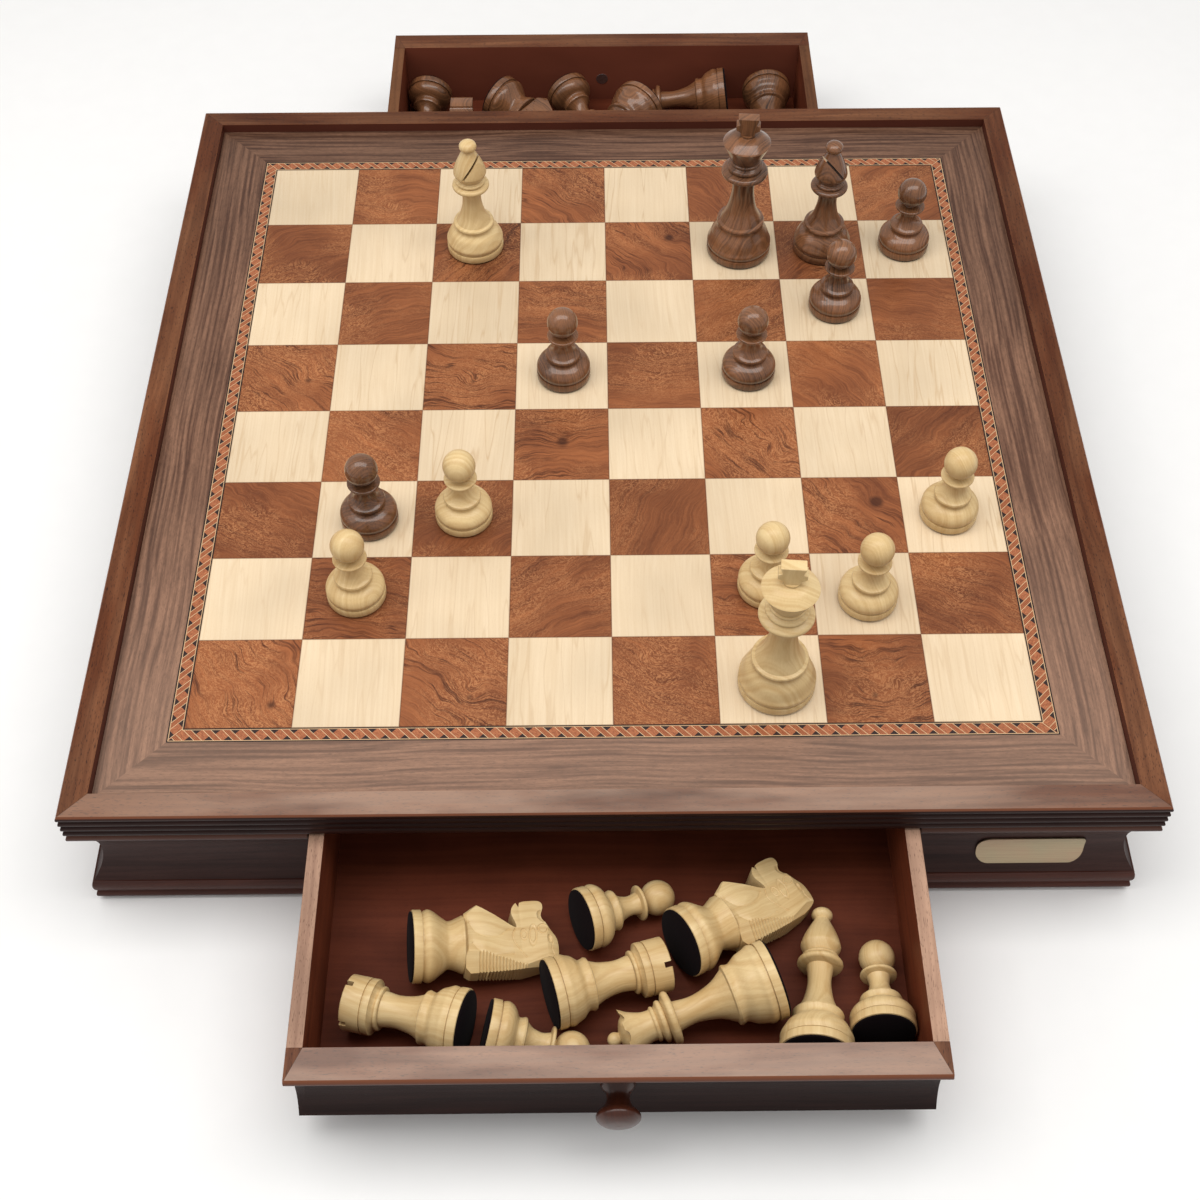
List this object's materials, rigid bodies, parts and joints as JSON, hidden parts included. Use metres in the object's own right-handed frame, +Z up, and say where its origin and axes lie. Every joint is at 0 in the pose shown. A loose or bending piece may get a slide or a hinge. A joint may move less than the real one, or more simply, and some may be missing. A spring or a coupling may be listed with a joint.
{
  "type": "chess box with drawers",
  "caption": "A square wooden chess box with an inlaid playing surface, a cove-moulded plinth and two opposed drawers pulled out, with its turned chessmen",
  "frame": {"origin": "under the middle of the box, at the undersides of its felt feet", "axes": "+X to the right along the front, +Y from the front drawer to the rear drawer, +Z up. At rest both drawers are pulled out and the men stand or lie in place"},
  "size_m": [0.5, 0.7425, 0.1688],
  "materials": {
    "walnut_frame": "satin lacquer, walnut stain, lighter on the edges",
    "dark_walnut": "satin lacquer, very dark walnut stain",
    "walnut_veneer": "satin lacquer, grey-brown straight grain",
    "maple_veneer": "satin lacquer, faint grain",
    "bubinga_veneer": "satin lacquer, figured red-brown grain",
    "patterned_banding": "inlaid slanting strips between fine pale and black lines",
    "drawer_wood": "satin lacquer, dark red-brown stain",
    "plain_wood": "sawn, unfinished",
    "knob_wood": "gloss lacquer, turned",
    "black_felt": "short pile",
    "gold_plate": "satin brushed, darker edge",
    "zinc_steel": "zinc plated",
    "boxwood": "satin polish, fine grain",
    "sheesham": "satin polish, dark streaks"
  },
  "bodies": {
    "case": {"board_panel": "walnut_veneer", "light_squares": "maple_veneer", "dark_squares": "bubinga_veneer", "banding": "patterned_banding", "border": "walnut_veneer", "frame_front": "walnut_frame", "frame_right": "walnut_frame", "frame_back": "walnut_frame", "frame_left": "walnut_frame", "plinth_left": "dark_walnut", "plinth_right": "dark_walnut", "plinth_front_left": "dark_walnut", "plinth_front_right": "dark_walnut", "plinth_back_left": "dark_walnut", "plinth_back_right": "dark_walnut", "corner_blocks": "plain_wood", "base_moulding": "dark_walnut", "bottom_board": "plain_wood", "drawer_guides": "plain_wood", "stop_rail": "plain_wood", "felt_feet": "black_felt", "bare_plate": "gold_plate"},
    "front_drawer": {"front_drawer_front": "walnut_frame", "front_drawer_left": "drawer_wood", "front_drawer_right": "drawer_wood", "front_drawer_back": "drawer_wood", "front_drawer_bottom": "drawer_wood", "front_knob": "knob_wood", "front_knob_screw": "zinc_steel", "pale_lying_knights": "boxwood", "pale_lying_rooks": "boxwood", "pale_lying_pawns": "boxwood", "pale_lying_queen": "boxwood", "pale_lying_bishop": "boxwood"},
    "rear_drawer": {"rear_drawer_front": "walnut_frame", "rear_drawer_left": "drawer_wood", "rear_drawer_right": "drawer_wood", "rear_drawer_back": "drawer_wood", "rear_drawer_bottom": "drawer_wood", "rear_knob": "knob_wood", "rear_knob_screw": "zinc_steel", "dark_lying_knights": "sheesham", "dark_lying_rooks": "sheesham", "dark_lying_pawns": "sheesham", "dark_lying_queen": "sheesham", "dark_lying_bishop": "sheesham"},
    "pale_king": {"pale_king": "boxwood"},
    "pale_bishop": {"pale_bishop": "boxwood"},
    "pale_pawn_b": {"pale_pawn_b": "boxwood"},
    "pale_pawn_c": {"pale_pawn_c": "boxwood"},
    "pale_pawn_f": {"pale_pawn_f": "boxwood"},
    "pale_pawn_g": {"pale_pawn_g": "boxwood"},
    "pale_pawn_h": {"pale_pawn_h": "boxwood"},
    "dark_king": {"dark_king": "sheesham"},
    "dark_bishop": {"dark_bishop": "sheesham"},
    "dark_pawn_b": {"dark_pawn_b": "sheesham"},
    "dark_pawn_d": {"dark_pawn_d": "sheesham"},
    "dark_pawn_f": {"dark_pawn_f": "sheesham"},
    "dark_pawn_g": {"dark_pawn_g": "sheesham"},
    "dark_pawn_h": {"dark_pawn_h": "sheesham"}
  },
  "joints": [
    {"name": "front_drawer_slide", "type": "slide", "parent": "case", "child": "front_drawer", "axis": [0, -1, 0], "range_m": [-0.1145, 0.055]},
    {"name": "rear_drawer_slide", "type": "slide", "parent": "case", "child": "rear_drawer", "axis": [0, 1, 0], "range_m": [-0.106, 0.0635]},
    {"name": "pale_king_lift", "type": "slide", "parent": "case", "child": "pale_king", "axis": [0, 0, 1], "range_m": [0, 0.1]},
    {"name": "pale_bishop_lift", "type": "slide", "parent": "case", "child": "pale_bishop", "axis": [0, 0, 1], "range_m": [0, 0.1]},
    {"name": "pale_pawn_b_lift", "type": "slide", "parent": "case", "child": "pale_pawn_b", "axis": [0, 0, 1], "range_m": [0, 0.1]},
    {"name": "pale_pawn_c_lift", "type": "slide", "parent": "case", "child": "pale_pawn_c", "axis": [0, 0, 1], "range_m": [0, 0.1]},
    {"name": "pale_pawn_f_lift", "type": "slide", "parent": "case", "child": "pale_pawn_f", "axis": [0, 0, 1], "range_m": [0, 0.1]},
    {"name": "pale_pawn_g_lift", "type": "slide", "parent": "case", "child": "pale_pawn_g", "axis": [0, 0, 1], "range_m": [0, 0.1]},
    {"name": "pale_pawn_h_lift", "type": "slide", "parent": "case", "child": "pale_pawn_h", "axis": [0, 0, 1], "range_m": [0, 0.1]},
    {"name": "dark_king_lift", "type": "slide", "parent": "case", "child": "dark_king", "axis": [0, 0, 1], "range_m": [0, 0.1]},
    {"name": "dark_bishop_lift", "type": "slide", "parent": "case", "child": "dark_bishop", "axis": [0, 0, 1], "range_m": [0, 0.1]},
    {"name": "dark_pawn_b_lift", "type": "slide", "parent": "case", "child": "dark_pawn_b", "axis": [0, 0, 1], "range_m": [0, 0.1]},
    {"name": "dark_pawn_d_lift", "type": "slide", "parent": "case", "child": "dark_pawn_d", "axis": [0, 0, 1], "range_m": [0, 0.1]},
    {"name": "dark_pawn_f_lift", "type": "slide", "parent": "case", "child": "dark_pawn_f", "axis": [0, 0, 1], "range_m": [0, 0.1]},
    {"name": "dark_pawn_g_lift", "type": "slide", "parent": "case", "child": "dark_pawn_g", "axis": [0, 0, 1], "range_m": [0, 0.1]},
    {"name": "dark_pawn_h_lift", "type": "slide", "parent": "case", "child": "dark_pawn_h", "axis": [0, 0, 1], "range_m": [0, 0.1]}
  ]
}
